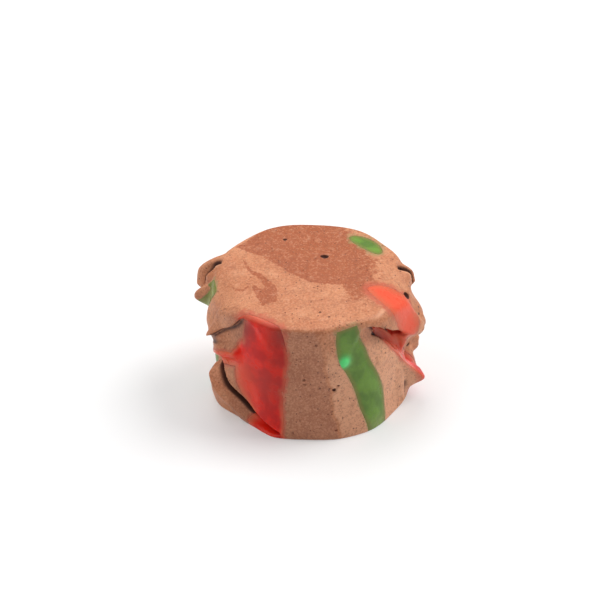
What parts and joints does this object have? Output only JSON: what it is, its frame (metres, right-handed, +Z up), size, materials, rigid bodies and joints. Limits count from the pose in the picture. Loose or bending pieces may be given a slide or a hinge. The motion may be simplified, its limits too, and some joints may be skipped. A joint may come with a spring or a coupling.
{
  "type": "salt water taffy",
  "caption": "Short cut length of chocolate taffy rope standing on a cut face, with red and green jelly stripes and twisted sides.",
  "frame": {"origin": "middle of the base, at the centre of the bounding box in plan", "axes": "+Z up along the rope's axis, +X towards the right twisted side, -Y to the front"},
  "size_m": [0.0282, 0.024, 0.0171],
  "materials": {
    "taffy": "soft chewy sweet, satin, finely pored",
    "red_jelly": "clear jelly, moist gloss",
    "green_jelly": "clear jelly, moist gloss"
  },
  "bodies": {
    "root": {"taffy_body": "taffy", "red_stripe_front": "red_jelly", "red_stripe_right": "red_jelly", "red_stripe_back": "red_jelly", "green_stripe_front": "green_jelly", "green_stripe_back": "green_jelly", "green_stripe_left": "green_jelly"}
  },
  "joints": []
}
